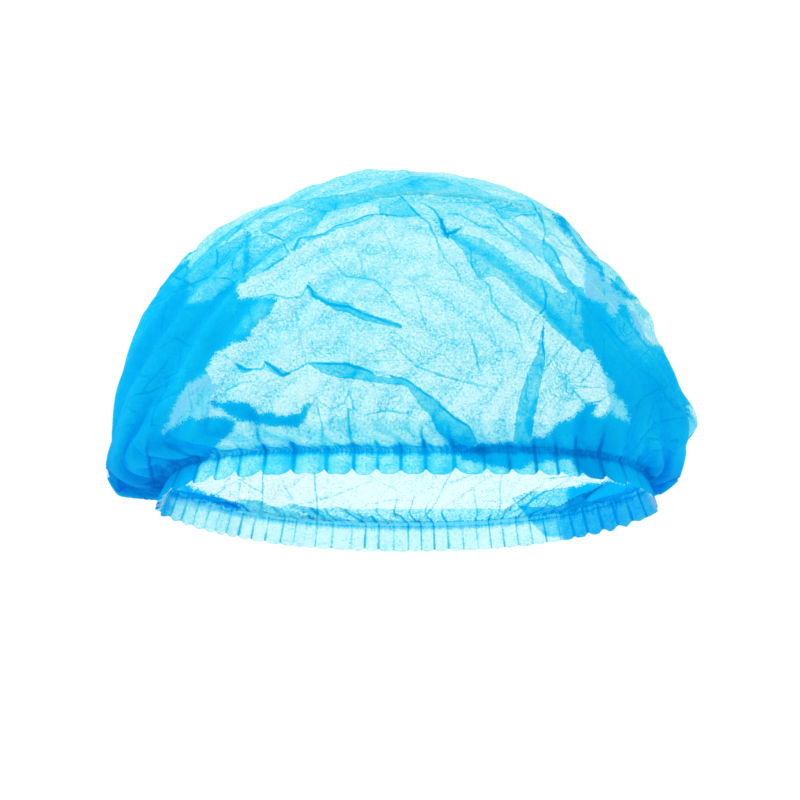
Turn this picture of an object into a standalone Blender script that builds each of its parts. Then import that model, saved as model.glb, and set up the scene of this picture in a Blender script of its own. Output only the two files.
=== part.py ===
"""A disposable bouffant cap of thin spunbond cloth, lying on its back panel.

The cap is one round sheet of cloth. Its edge is turned in once to make a casing, and a narrow
elastic in that casing gathers the edge into pleats, so that the middle of the sheet puffs up.
Here it rests as a light cap does on a table: the opening faces -Y, the crown's far end is at +Y,
the back panel lies flat on the ground at Z 0 and the front panel stands puffed up above it.
"""

import math

import bmesh
import bpy
import numpy as np

# Driving sizes of the cap, in metres. ARCH and BASE say how square the opening is above and below.
CAP_WIDTH = 0.285
CROWN_LENGTH = 0.163
CAP_HEIGHT = 0.118
OPENING_WIDTH = 0.229
OPENING_HEIGHT = 0.064
CORNER_HEIGHT = 0.011
# The ends of the opening lie further back than its middle. BOW_REACH is a share of CROWN_LENGTH.
OPENING_BOW = 0.0105
BOW_REACH = 0.060
# The cap's weight presses the lowest part of the cloth flat against the ground.
PRESSED = 0.0025
OPENING_ARCH = 2.9
OPENING_BASE = 2.4
FRILL_LENGTH = 0.016
FRILL_FLARE = 0.004
HEM_TURN = 0.018

# The cloth is drawn thicker than the real sheet, which is about a tenth of a millimetre.
CLOTH = 0.0012
ELASTIC_WIDTH = 0.0046
ELASTIC_THICKNESS = 0.0007
CLEARANCE = 0.0003
POCKET = ELASTIC_THICKNESS + 2 * CLEARANCE

# Gathers. A front pleat is a broad lobe of two columns and a narrow valley of one.
FRONT_PLEATS = 17
COLUMNS_A_PLEAT = 3
SIDE = FRONT_PLEATS * COLUMNS_A_PLEAT + 1
COLUMNS = 2 * SIDE
FRILL_GATHER = 0.0028
CASING_GATHER = 0.0005
CROWN_GATHER = 0.0019
GATHER_PEAK = 0.026
GATHER_REACH = 0.110
BACK_GATHER_REACH = 0.062
SCALLOP = 0.0018

# How far down the photograph's eye looks on the lying cap, for placing the folds of the front.
VIEW_TILT = math.radians(55)

# Sections of the crown, from just outside the elastic to the far end where the sheet closes.
# run: share of CROWN_LENGTH. lean: how far the crest hangs forwards, share of CROWN_LENGTH.
# left, right: shares of half of CAP_WIDTH. low, mid, top: shares of CAP_HEIGHT for the underside,
# the widest place and the crest. upper, lower: how square the section is over and under that.
SECTIONS = (
    dict(run=0.035, lean=0.050, left=0.945, right=0.905, low=0.00, mid=0.17, top=0.69, upper=2.6, lower=3.4),
    dict(run=0.080, lean=0.050, left=0.982, right=0.955, low=0.00, mid=0.24, top=0.82, upper=2.4, lower=3.6),
    dict(run=0.160, lean=0.030, left=0.985, right=0.980, low=0.00, mid=0.31, top=0.925, upper=2.3, lower=3.6),
    dict(run=0.270, lean=0.010, left=0.955, right=0.960, low=0.00, mid=0.37, top=0.985, upper=2.2, lower=3.2),
    dict(run=0.420, lean=0.000, left=0.890, right=0.885, low=0.00, mid=0.41, top=1.000, upper=2.1, lower=3.0),
    dict(run=0.570, lean=0.000, left=0.805, right=0.800, low=0.00, mid=0.43, top=0.975, upper=2.1, lower=2.8),
    dict(run=0.710, lean=0.000, left=0.710, right=0.705, low=0.00, mid=0.42, top=0.910, upper=2.1, lower=2.6),
    dict(run=0.825, lean=0.000, left=0.595, right=0.600, low=0.03, mid=0.41, top=0.815, upper=2.0, lower=2.4),
    dict(run=0.915, lean=0.000, left=0.460, right=0.475, low=0.09, mid=0.40, top=0.695, upper=2.0, lower=2.2),
    dict(run=0.970, lean=0.000, left=0.320, right=0.345, low=0.18, mid=0.39, top=0.575, upper=2.0, lower=2.0),
    dict(run=1.000, lean=0.000, left=0.110, right=0.130, low=0.38, mid=0.38, top=0.380, upper=2.0, lower=2.0),
)

# Main folds of the front panel, as seen by the photograph's eye. across: share of half of
# CAP_WIDTH, left negative. up: share of the seen height. width and depth: shares of CAP_HEIGHT,
# a negative depth standing out as a ridge.
FOLDS = (
    dict(name="tuck over the left casing", across=(-0.64, -0.34), up=(0.385, 0.375), width=0.075, depth=0.040),
    dict(name="long fold to the left", across=(-0.60, 0.00), up=(0.510, 0.475), width=0.080, depth=0.045),
    dict(name="long fold down to the casing", across=(0.00, 0.24), up=(0.475, 0.370), width=0.080, depth=0.032),
    dict(name="upper left fold", across=(-0.55, 0.02), up=(0.660, 0.590), width=0.080, depth=0.045),
    dict(name="upright fold on the right", across=(0.47, 0.42), up=(0.580, 0.380), width=0.075, depth=-0.035),
    dict(name="fold off the crest", across=(0.02, 0.22), up=(0.900, 0.660), width=0.075, depth=0.045),
    dict(name="band along the crest", across=(-0.42, 0.34), up=(0.900, 0.920), width=0.080, depth=-0.025),
    dict(name="band down to the right", across=(0.18, 0.60), up=(0.800, 0.580), width=0.080, depth=-0.040),
    dict(name="fold on the right flank", across=(0.50, 0.76), up=(0.330, 0.430), width=0.080, depth=0.040),
    dict(name="upright fold on the left", across=(-0.53, -0.53), up=(0.850, 0.690), width=0.065, depth=0.040),
    dict(name="fold from the crest to the left", across=(-0.36, -0.10), up=(0.780, 0.880), width=0.075, depth=0.035),
)
# The folds fade out over this length of cloth at the casing and at the closed end.
FOLD_FADE = 0.024

# Rings of the crown past the turned-in edge, with one close to the closed end to keep it round.
CROWN_RINGS = 15
END_RING = 0.022
FINE_STEPS = 400


def spaced(line, count):
    """The line again, as count points at equal steps along it."""
    steps = np.linalg.norm(np.diff(line, axis=0), axis=1)
    along = np.concatenate([[0.0], np.cumsum(steps)])
    at = np.linspace(0.0, along[-1], count)
    return np.stack([np.interp(at, along, line[:, k]) for k in range(2)], axis=1)


def half_section(left, right, rise, power):
    """From the right end to the left end of a section, over or under its widest line, as (x, z)."""
    angle = np.linspace(0.0, math.pi, FINE_STEPS)
    reach = np.where(np.cos(angle) >= 0.0, right, left)
    x = reach * np.sign(np.cos(angle)) * np.abs(np.cos(angle)) ** (2 / power)
    z = rise * np.abs(np.sin(angle)) ** (2 / power)
    return spaced(np.stack([x, z], axis=1), SIDE + 1)


def section(run, lean, left, right, low, mid, top, upper, lower):
    """A closed ring of COLUMNS points: right end, front panel, left end, back panel."""
    front = half_section(left, right, top - mid, upper)
    pressed = low - PRESSED if low < PRESSED else low
    back = half_section(left, right, pressed - mid, lower)[::-1][1:-1]
    x, z = np.concatenate([front, back]).T
    bow = OPENING_BOW * min(1.0, max(0.0, 1.0 - run / BOW_REACH))
    y = run * CROWN_LENGTH + bow * (x / (CAP_WIDTH / 2)) ** 2
    z = np.maximum(z + mid, 0.0)
    return np.stack([x, y - lean * CROWN_LENGTH * z / top, z], axis=1)


def crown_section(row):
    """One row of SECTIONS as a ring."""
    return section(
        row["run"],
        row["lean"],
        row["left"] * CAP_WIDTH / 2,
        row["right"] * CAP_WIDTH / 2,
        row["low"] * CAP_HEIGHT,
        row["mid"] * CAP_HEIGHT,
        row["top"] * CAP_HEIGHT,
        row["upper"],
        row["lower"],
    )


def opening_section(run, half, height):
    return section(run, 0.0, half, half, 0.0, CORNER_HEIGHT, height, OPENING_ARCH, OPENING_BASE)


def elastic_line():
    """The ring that the elastic follows on the outside of the cloth."""
    half = OPENING_WIDTH / 2
    return opening_section(0.0, half, OPENING_HEIGHT)


def frill_edge():
    """The folded edge of the cloth, in front of the elastic and a little wider."""
    half = OPENING_WIDTH / 2 + FRILL_FLARE
    reach = math.sqrt(FRILL_LENGTH**2 - FRILL_FLARE**2)
    return opening_section(-reach / CROWN_LENGTH, half, OPENING_HEIGHT + FRILL_FLARE)


def through(rings, q):
    """The ring at place q along a list of rings, on a smooth curve through them."""
    last = len(rings) - 1
    i = min(int(q), last - 1)
    t = q - i
    before, start = rings[max(i - 1, 0)], rings[i]
    end, after = rings[i + 1], rings[min(i + 2, last)]
    leave, arrive = (end - before) / 2, (after - start) / 2
    return (
        (2 * t**3 - 3 * t**2 + 1) * start
        + (t**3 - 2 * t**2 + t) * leave
        + (3 * t**2 - 2 * t**3) * end
        + (t**3 - t**2) * arrive
    )


def crown_rings():
    return [elastic_line()] + [crown_section(row) for row in SECTIONS]


def distances(rings):
    """Places along the rings and the mean distance from the elastic, along the cloth, of each."""
    places = np.linspace(0.0, len(rings) - 1, 30 * (len(rings) - 1) + 1)
    fine = [through(rings, q) for q in places]
    steps = [np.linalg.norm(b - a, axis=1).mean() for a, b in zip(fine, fine[1:])]
    return places, np.concatenate([[0.0], np.cumsum(steps)])


def cloth_ring(distance, rings, table):
    """The bare cloth, with no pleats, at a distance from the elastic: negative on the frill."""
    if distance < 0:
        edge, line = frill_edge(), rings[0]
        return line + (edge - line) * (-distance / FRILL_LENGTH)
    return through(rings, float(np.interp(distance, table[1], table[0])))


def unit(vectors):
    return vectors / np.maximum(np.linalg.norm(vectors, axis=-1, keepdims=True), 1e-12)


def outward(grid):
    """Unit normals of a grid of rings, pointing out of the cap."""
    around = np.roll(grid, -1, axis=1) - np.roll(grid, 1, axis=1)
    steps = unit(np.diff(grid, axis=0))
    along = np.concatenate([steps[:1], steps[:-1] + steps[1:], steps[-1:]])
    normal = unit(np.cross(along, around))
    mirror = (-np.arange(COLUMNS)) % COLUMNS
    normal[-1] = normal[-1] + normal[-1][mirror]
    return unit(normal)


def lobes():
    """1 on a lobe and -1 in a valley for the front, 0 and -1 in turn for the back."""
    pattern = np.zeros(COLUMNS)
    for column in range(1, SIDE):
        pattern[column] = -1.0 if column % COLUMNS_A_PLEAT == 0 else 1.0
        pattern[SIDE + column] = -1.0 if column % 2 == 0 else 0.0
    return pattern


def gather(distance, reach):
    """How far the pleats stand out at a distance from the elastic, where they end at reach."""
    if distance < 0:
        return CASING_GATHER + (FRILL_GATHER - CASING_GATHER) * (-distance / FRILL_LENGTH)
    if distance < GATHER_PEAK:
        return CASING_GATHER + (CROWN_GATHER - CASING_GATHER) * distance / GATHER_PEAK
    return CROWN_GATHER * max(0.0, 1.0 - (distance - GATHER_PEAK) / (reach - GATHER_PEAK))


def seen(points):
    """(across, up) of points in the photograph's view: shares of half the width and of the height."""
    up = points[..., 1] * math.sin(VIEW_TILT) + points[..., 2] * math.cos(VIEW_TILT)
    lowest = -FRILL_LENGTH * math.sin(VIEW_TILT)
    return np.stack([points[..., 0] / (CAP_WIDTH / 2), (up - lowest) / SEEN_HEIGHT], axis=-1)


def crest_height():
    """The greatest height of the crown in the photograph's view."""
    grid = np.array([crown_section(row) for row in SECTIONS])
    up = grid[..., 1] * math.sin(VIEW_TILT) + grid[..., 2] * math.cos(VIEW_TILT)
    return float(up.max()) + FRILL_LENGTH * math.sin(VIEW_TILT)


SEEN_HEIGHT = crest_height()


def fold_depth(points):
    """How far the main folds push the front panel in at each point."""
    place = seen(points) * np.array([CAP_WIDTH / 2, SEEN_HEIGHT])
    depth = np.zeros(points.shape[:-1])
    for fold in FOLDS:
        start, end = (
            np.array([fold["across"][k] * CAP_WIDTH / 2, fold["up"][k] * SEEN_HEIGHT]) for k in (0, 1)
        )
        run = end - start
        share = np.clip(((place - start) @ run) / (run @ run), 0.0, 1.0)
        away = np.linalg.norm(place - start - share[..., None] * run, axis=-1)
        width = fold["width"] * CAP_HEIGHT
        depth += fold["depth"] * CAP_HEIGHT * np.exp(-((away / width) ** 2))
    return depth


def stations(length):
    """Distances of the rings from the elastic, on the turned-in stretch and past it."""
    casing = [-FRILL_LENGTH, -FRILL_LENGTH / 2, -ELASTIC_WIDTH / 2, ELASTIC_WIDTH / 2]
    casing += [HEM_TURN / 2, HEM_TURN]
    steps = list(np.linspace(0.0, 1.0, CROWN_RINGS)[1:])
    steps.insert(-1, 1.0 - END_RING)
    return casing, [HEM_TURN + (length - HEM_TURN) * t for t in steps]


class Sheet:
    """The cloth's outer face as a grid of rings, with what is needed to step inwards from it."""

    def __init__(self):
        rings = crown_rings()
        table = distances(rings)
        casing, past_casing = stations(float(table[1][-1]))
        at = np.array(casing + past_casing)
        self.turned = len(casing)
        self.band = (casing.index(-ELASTIC_WIDTH / 2), casing.index(ELASTIC_WIDTH / 2))
        grid = np.array([cloth_ring(d, rings, table) for d in at])
        self.normal = outward(grid)
        front = np.zeros(COLUMNS)
        front[1:SIDE] = 1.0
        reach = np.where(front > 0, GATHER_REACH, BACK_GATHER_REACH)
        pleats = np.array([[gather(d, r) for r in reach] for d in at]) * lobes()
        fade = np.clip(np.minimum(at, at[-1] - at) / FOLD_FADE - 0.5, 0.0, 1.0)
        push = pleats - fold_depth(grid) * front * fade[:, None]
        push[-1] = 0.0
        self.face = grid + self.normal * push[..., None]
        to_band = self.face[1] - self.face[0]
        to_band /= np.linalg.norm(to_band, axis=1, keepdims=True)
        self.face[0] += to_band * (SCALLOP * (lobes() < 0))[:, None]

    def layer(self, depth):
        """The grid at a depth inside the outer face. The table flattens what would reach below it."""
        points = self.face - self.normal * depth
        points[..., 2] = np.maximum(points[..., 2], depth)
        return points


def strip_faces(ring_a, ring_b, inwards):
    """Triangles between two rings of vertex numbers, leaving out what closes to a line.

    inwards says that ring_b lies further from the casing's edge than ring_a, so that all layers of
    cloth are cut along the same diagonals and stay parallel.
    """
    faces = []
    for c in range(COLUMNS):
        d = (c + 1) % COLUMNS
        if inwards:
            pair = ((ring_a[c], ring_a[d], ring_b[d]), (ring_a[c], ring_b[d], ring_b[c]))
        else:
            pair = ((ring_a[c], ring_a[d], ring_b[c]), (ring_a[d], ring_b[d], ring_b[c]))
        faces.extend(corners for corners in pair if len(set(corners)) == 3)
    return faces


def closed_line(first):
    """Vertex numbers for a ring whose front and back points are the same."""
    return [first + min(c, COLUMNS - c) for c in range(COLUMNS)]


def body_of(name, points, faces, material):
    """A closed body as an object of the scene."""
    mesh = bpy.data.meshes.new(name)
    mesh.from_pydata([tuple(p) for p in points], [], faces)
    model = bmesh.new()
    model.from_mesh(mesh)
    bmesh.ops.recalc_face_normals(model, faces=model.faces[:])
    if model.calc_volume(signed=True) < 0.0:
        bmesh.ops.reverse_faces(model, faces=model.faces[:])
    model.to_mesh(mesh)
    model.free()
    mesh.materials.append(material)
    mesh.shade_smooth()
    mesh.set_sharp_from_angle(angle=math.radians(50))
    made = bpy.data.objects.new(name, mesh)
    bpy.context.scene.collection.objects.link(made)
    return made


def crown(sheet):
    """The whole sheet of cloth with its edge turned in, as one body."""
    outer, inner = sheet.layer(0.0), sheet.layer(CLOTH)
    turned_out = sheet.layer(CLOTH + POCKET)[: sheet.turned]
    turned_in = sheet.layer(2 * CLOTH + POCKET)[: sheet.turned]
    bottom = CLOTH / FRILL_LENGTH * 2
    for layer in (inner, turned_out):
        layer[0] = layer[0] + (layer[1] - layer[0]) * bottom
    rings = list(outer[::-1]) + list(turned_in) + list(turned_out[::-1]) + list(inner)
    turns_in = [False] * len(outer) + [True] * len(turned_in)
    turns_in += [False] * len(turned_out) + [True] * len(inner)
    points, numbers = [], []
    for k, ring in enumerate(rings):
        first = len(points)
        if k in (0, len(rings) - 1):
            numbers.append(closed_line(first))
            points.extend((ring[: SIDE + 1] + ring[(-np.arange(SIDE + 1)) % COLUMNS]) / 2)
        else:
            numbers.append([first + c for c in range(COLUMNS)])
            points.extend(ring)
    faces = []
    for ring_a, ring_b, inwards in zip(numbers, numbers[1:], turns_in):
        faces.extend(strip_faces(ring_a, ring_b, inwards))
    return points, faces


def elastic_band(sheet):
    """The flat elastic inside the casing, a closed ribbon between the two layers of cloth."""
    low, high = sheet.band
    outer = sheet.layer(CLOTH + CLEARANCE)
    inner = sheet.layer(CLOTH + CLEARANCE + ELASTIC_THICKNESS)
    rings = [outer[low], outer[high], inner[high], inner[low]]
    points = np.concatenate(rings)
    numbers = [[k * COLUMNS + c for c in range(COLUMNS)] for k in range(len(rings))]
    faces = []
    for k, inwards in enumerate((True, False, False, True)):
        faces.extend(strip_faces(numbers[k], numbers[(k + 1) % len(numbers)], inwards))
    return points, faces


def finish_of(name, colour, roughness):
    material = bpy.data.materials.new(name)
    material.use_nodes = True
    shader = material.node_tree.nodes["Principled BSDF"]
    shader.inputs["Base Color"].default_value = (*colour, 1.0)
    shader.inputs["Roughness"].default_value = roughness
    shader.inputs["Metallic"].default_value = 0.0
    return material


def main():
    for old in list(bpy.data.objects):
        bpy.data.objects.remove(old)
    sheet = Sheet()
    crown_points, crown_faces = crown(sheet)
    band_points, band_faces = elastic_band(sheet)
    corners = np.array(crown_points)
    centre = (corners.min(axis=0) + corners.max(axis=0)) / 2
    shift = np.array([centre[0], centre[1], 0.0])
    cloth = finish_of("spunbond_cloth", (0.20, 0.72, 0.93), 0.75)
    rubber = finish_of("elastic_ribbon", (0.72, 0.92, 0.96), 0.6)
    body_of("crown", corners - shift, crown_faces, cloth)
    body_of("elastic_band", band_points - shift, band_faces, rubber)


main()
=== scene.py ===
import math

import bpy
import numpy as np
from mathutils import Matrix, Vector


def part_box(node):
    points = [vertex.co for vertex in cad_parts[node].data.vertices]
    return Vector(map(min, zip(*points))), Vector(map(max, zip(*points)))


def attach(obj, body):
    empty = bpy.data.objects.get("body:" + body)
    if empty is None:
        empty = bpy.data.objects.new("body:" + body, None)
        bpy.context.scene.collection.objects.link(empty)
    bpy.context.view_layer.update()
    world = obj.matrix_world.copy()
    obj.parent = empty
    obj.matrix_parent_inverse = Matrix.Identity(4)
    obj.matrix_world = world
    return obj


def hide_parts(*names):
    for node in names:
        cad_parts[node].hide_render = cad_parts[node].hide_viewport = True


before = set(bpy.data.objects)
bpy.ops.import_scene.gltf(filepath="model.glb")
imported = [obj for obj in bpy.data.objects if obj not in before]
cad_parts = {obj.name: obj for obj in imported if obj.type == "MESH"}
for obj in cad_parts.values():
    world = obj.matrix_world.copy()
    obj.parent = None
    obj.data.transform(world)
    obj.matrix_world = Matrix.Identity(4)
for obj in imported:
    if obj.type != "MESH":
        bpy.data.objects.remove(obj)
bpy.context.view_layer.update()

# The crown is one round sheet of thin spunbond polypropylene, light blue and half see-through. Its
# edge is turned in round an elastic that gathers it into pleats and a frill, and the middle puffs
# up into crumpled facets. Where cloth lies folded over itself it shows as bluer, sharp-edged patches.
CAP_WIDTH = 0.285
CROWN_LENGTH = 0.163
CAP_HEIGHT = 0.118
OPENING_WIDTH = 0.229
OPENING_HEIGHT = 0.064
CORNER_HEIGHT = 0.011
OPENING_BOW = 0.0105
BOW_REACH = 0.060
BACK_BOW = 0.021
BACK_BOW_REACH = 0.055
OPENING_ARCH = 2.9
OPENING_BASE = 2.4
PRESSED = 0.0025
OVER_FLOOR = 0.0002
FRILL_LENGTH = 0.016
FRILL_FLARE = 0.004

# The grid of the cloth: COLUMNS run from the casing to the closed end, and rows lie closer together
# where the cloth is gathered and where the front panel shows.
COLUMNS = 640
SIDE = COLUMNS // 2
ROWS = 153
GATHERED_ROWS = 36
FRONT_ROWS = 126
GATHERED_UP_TO = 0.020
FRONT_UP_TO = 0.137
SECTION_STEPS = 2400

# Sections from just outside the elastic to the closed end. run: share of CROWN_LENGTH. left, right:
# shares of half of CAP_WIDTH. low, mid, top: shares of CAP_HEIGHT for the underside, the widest place
# and the crest. upper, lower: how square the section is over and under the widest place.
SECTIONS = (
    (0.035, 0.975, 0.880, 0.00, 0.17, 0.610, 2.6, 3.4),
    (0.080, 0.985, 0.900, 0.00, 0.24, 0.710, 2.4, 3.6),
    (0.160, 0.970, 0.922, 0.00, 0.31, 0.845, 2.3, 3.6),
    (0.270, 0.955, 0.895, 0.00, 0.37, 0.955, 2.2, 3.2),
    (0.420, 0.910, 0.830, 0.00, 0.41, 1.000, 2.1, 3.0),
    (0.570, 0.825, 0.745, 0.00, 0.43, 0.975, 2.1, 2.8),
    (0.710, 0.725, 0.655, 0.00, 0.42, 0.910, 2.1, 2.6),
    (0.825, 0.580, 0.570, 0.03, 0.41, 0.815, 2.0, 2.4),
    (0.915, 0.430, 0.450, 0.09, 0.40, 0.695, 2.0, 2.2),
    (0.970, 0.285, 0.345, 0.18, 0.39, 0.575, 2.0, 2.0),
    (1.000, 0.110, 0.130, 0.38, 0.38, 0.380, 2.0, 2.0),
)


def within(value):
    """The value, held between 0 and 1."""
    return np.clip(value, 0.0, 1.0)


def evenly_along(line, count):
    """The line again, as count points at equal steps along it."""
    steps = np.linalg.norm(np.diff(line, axis=0), axis=1)
    along = np.concatenate([[0.0], np.cumsum(steps)])
    at = np.linspace(0.0, along[-1], count)
    return np.stack([np.interp(at, along, line[:, k]) for k in range(2)], axis=1)


def half_section(left, right, rise, power):
    """From the right end to the left end of a section, over or under its widest line, as (x, z)."""
    angle = np.linspace(0.0, math.pi, SECTION_STEPS)
    reach = np.where(np.cos(angle) >= 0.0, right, left)
    x = reach * np.sign(np.cos(angle)) * np.abs(np.cos(angle)) ** (2 / power)
    z = rise * np.abs(np.sin(angle)) ** (2 / power)
    return evenly_along(np.stack([x, z], axis=1), SIDE + 1)


def cloth_section(run, left, right, low, mid, top, upper, lower):
    """A closed ring of COLUMNS points: right end, front panel, left end, back panel."""
    front = half_section(left, right, top - mid, upper)
    pressed = low - PRESSED if low < PRESSED else low
    back = half_section(left, right, pressed - mid, lower)[::-1][1:-1]
    x, z = np.concatenate([front, back]).T
    bow = OPENING_BOW * min(1.0, max(0.0, 1.0 - run / BOW_REACH))
    y = run * CROWN_LENGTH + bow * (x / (CAP_WIDTH / 2)) ** 2
    return np.stack([x, y, np.maximum(z + mid, 0.0)], axis=1)


def crown_section(run, left, right, low, mid, top, upper, lower):
    half = CAP_WIDTH / 2
    heights = (low * CAP_HEIGHT, mid * CAP_HEIGHT, top * CAP_HEIGHT)
    return cloth_section(run, left * half, right * half, *heights, upper, lower)


def opening_section(run, half, height):
    return cloth_section(run, half, half, 0.0, CORNER_HEIGHT, height, OPENING_ARCH, OPENING_BASE)


frill_reach = math.sqrt(FRILL_LENGTH**2 - FRILL_FLARE**2)
frill_half = OPENING_WIDTH / 2 + FRILL_FLARE
frill_edge = opening_section(-frill_reach / CROWN_LENGTH, frill_half, OPENING_HEIGHT + FRILL_FLARE)
elastic_line = opening_section(0.0, OPENING_WIDTH / 2, OPENING_HEIGHT)
crown_rings = np.array([elastic_line] + [crown_section(*row) for row in SECTIONS])


def ring_through(q):
    """The ring at place q along the crown's rings, on a smooth curve through them."""
    last = len(crown_rings) - 1
    i = min(int(q), last - 1)
    t = q - i
    before, start = crown_rings[max(i - 1, 0)], crown_rings[i]
    end, after = crown_rings[i + 1], crown_rings[min(i + 2, last)]
    leave, arrive = (end - before) / 2, (after - start) / 2
    out = (2 * t**3 - 3 * t**2 + 1) * start + (t**3 - 2 * t**2 + t) * leave
    return out + (3 * t**2 - 2 * t**3) * end + (t**3 - t**2) * arrive


RINGS_BETWEEN = 30
places = np.linspace(0.0, len(crown_rings) - 1, RINGS_BETWEEN * (len(crown_rings) - 1) + 1)
fine_rings = [ring_through(q) for q in places]
ring_steps = [np.linalg.norm(b - a, axis=1).mean() for a, b in zip(fine_rings, fine_rings[1:])]
travelled = np.concatenate([[0.0], np.cumsum(ring_steps)])
crown_reach = travelled[-1]

# distance: how far along the cloth each row lies from the elastic, negative on the frill.
row_stops = (0, GATHERED_ROWS, FRONT_ROWS, ROWS - 1)
distance = np.interp(np.arange(ROWS), row_stops, (-FRILL_LENGTH, GATHERED_UP_TO, FRONT_UP_TO, crown_reach))


def bare_ring(d):
    if d < 0:
        return elastic_line + (frill_edge - elastic_line) * (-d / FRILL_LENGTH)
    return ring_through(float(np.interp(d, travelled, places)))


bare = np.array([bare_ring(d) for d in distance])
out_wide = np.abs(bare[..., 0]) / (CAP_WIDTH / 2)
bow_share = out_wide**2.8 * within((1.0 - out_wide) / 0.15)
bow_share *= within(1 - bare[..., 2] / OPENING_HEIGHT) ** 2
bare[..., 1] += BACK_BOW * bow_share * within(1 - distance / BACK_BOW_REACH)[:, None] ** 1.5
bare_middle = (bare.reshape(-1, 3).min(axis=0) + bare.reshape(-1, 3).max(axis=0)) / 2
crown_low, crown_high = (np.array(corner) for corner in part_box("crown"))
bare[..., :2] += ((crown_low + crown_high) / 2 - bare_middle)[:2]


def unit(vectors):
    return vectors / np.maximum(np.linalg.norm(vectors, axis=-1, keepdims=True), 1e-12)


def outward(grid):
    """Unit normals of the grid, pointing out of the cap."""
    around = np.roll(grid, -1, axis=1) - np.roll(grid, 1, axis=1)
    steps = unit(np.diff(grid, axis=0))
    along = np.concatenate([steps[:1], steps[:-1] + steps[1:], steps[-1:]])
    normal = unit(np.cross(along, around))
    mirror = (-np.arange(grid.shape[1])) % grid.shape[1]
    normal[-1] = normal[-1] + normal[-1][mirror]
    return unit(normal)


def softened(field, rows, columns):
    """The field averaged three times over that many rows and columns to each side."""
    for _ in range(3):
        for axis, reach in ((0, rows), (1, columns)):
            if reach < 1:
                continue
            width = 2 * reach + 1
            pad = [(0, 0)] * field.ndim
            pad[axis] = (reach + 1, reach)
            mode = "wrap" if axis == 1 else "edge"
            total = np.cumsum(np.pad(field, pad, mode=mode), axis=axis)
            upper = np.take(total, range(width, total.shape[axis]), axis=axis)
            lower = np.take(total, range(0, total.shape[axis] - width), axis=axis)
            field = (upper - lower) / width
    return field


chance = np.random.default_rng(21)


def drift(rows, columns, shape=(ROWS, COLUMNS)):
    """Smooth random values of about one unit that change over that many rows and columns."""
    field = softened(chance.normal(size=shape), rows, columns)
    return field / field.std()


# Pleats: broad ones on the front panel, which hang as rounded scallops, and narrow ones on the back.
FRONT_PITCH = 0.0108
BACK_PITCH = 0.0070
share = np.arange(COLUMNS) / COLUMNS
front_weight = within(np.sin(2 * math.pi * share) * 3)
ring_gap = np.linalg.norm(np.roll(bare, -1, axis=1) - bare, axis=2)
elastic_row = int(np.argmin(np.abs(distance)))
pitch = BACK_PITCH + (FRONT_PITCH - BACK_PITCH) * front_weight
rate = ring_gap[elastic_row] / pitch * np.clip(1 + 0.16 * drift(0, 7, (1, COLUMNS))[0], 0.7, 1.4)
pleats = round(rate.sum() / 4) * 4
turn_rate = rate / rate.sum() * pleats
phase = np.concatenate([[0.0], np.cumsum(turn_rate)[:-1]]) * 2 * math.pi
valley = np.abs(np.cos(phase / 2))
pleat_lobe = 1.0 - 2.0 * valley**1.6


def eased(d, stops):
    """Values read from (distance, value) stops."""
    return np.interp(d, [stop[0] for stop in stops], [stop[1] for stop in stops])


# The flanks hold most of the spare cloth. The middle of the front is drawn nearly smooth.
across_share = bare[..., 0] / (CAP_WIDTH / 2)
is_front = (np.arange(COLUMNS) > 0) & (np.arange(COLUMNS) < SIDE)
flank = within((np.abs(across_share) - 0.45) / 0.35)
past_casing = within((distance - 0.012) / 0.020)[:, None]
on_back = within((distance + 0.002) / 0.004)[:, None] * ~is_front
neat_back = 0.6 + 0.32 * within((0.032 - distance) / 0.010)[:, None]
calm = 1.0 - past_casing * (0.93 - 0.06 * flank) * is_front - neat_back * on_back

wave_mid = np.sin(phase / 2 + 1.3 * drift(0, 12, (1, COLUMNS))[0])
wave_wide = np.sin(phase / 4 + 1.6 * drift(0, 20, (1, COLUMNS))[0])
high_fine = eased(distance, ((-0.016, 0.0026), (-0.004, 0.0009), (0.0, 0.0005), (0.006, 0.0010),
                             (0.020, 0.0016), (0.045, 0.0005), (0.08, 0.0)))
high_mid = eased(distance, ((0.0, 0.0), (0.015, 0.0007), (0.045, 0.0022), (0.09, 0.0008), (0.13, 0.0)))
high_wide = eased(distance, ((0.03, 0.0), (0.08, 0.0018), (0.13, 0.0012), (0.17, 0.0)))
start_push = high_fine[:, None] * pleat_lobe + high_mid[:, None] * wave_mid + high_wide[:, None] * wave_wide
start_push = start_push * (1 + 0.4 * drift(6, 8)) * calm
start_push += 0.0004 * drift(2, 3) * within(distance / 0.02)[:, None]
start_push += 0.0011 * drift(7, 8) * within(distance / 0.04)[:, None]
start_push[-1] = 0
started = bare + outward(bare) * start_push[..., None]

spare_round = eased(distance, ((-0.016, 1.20), (0.0, 1.10), (0.02, 1.20), (0.06, 1.12),
                               (0.10, 1.07), (0.14, 1.05), (0.20, 1.05)))
spare_round = 1.0 + (spare_round[:, None] - 1.0) * (0.04 + 0.96 * calm)
spare_along = eased(distance, ((-0.016, 1.0), (0.01, 1.0), (0.04, 1.025), (0.20, 1.04)))


# How far the threads give: on the elastic, at the closed end, along a slant, where they bend, and
# back to the broad form in each pass.
ELASTIC_HOLD = 0.0032
FREE_ON_ELASTIC = 0.15
FREE_AT_END = 0.3
SLANT_PULL = 0.5
BEND_PULL = 0.10
FORM_PULL = 0.15


def pull(a, b, rest, free_a, free_b, share_now):
    """Moves the ends a and b of a thread towards its rest length."""
    line = b - a
    length = np.sqrt(np.einsum("...i,...i->...", line, line))
    free = np.maximum(free_a + free_b, 1e-9)
    move = line * ((length - rest) / np.maximum(length, 1e-9) / free * share_now)[..., None]
    a += move * free_a[..., None]
    b -= move * free_b[..., None]


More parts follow.
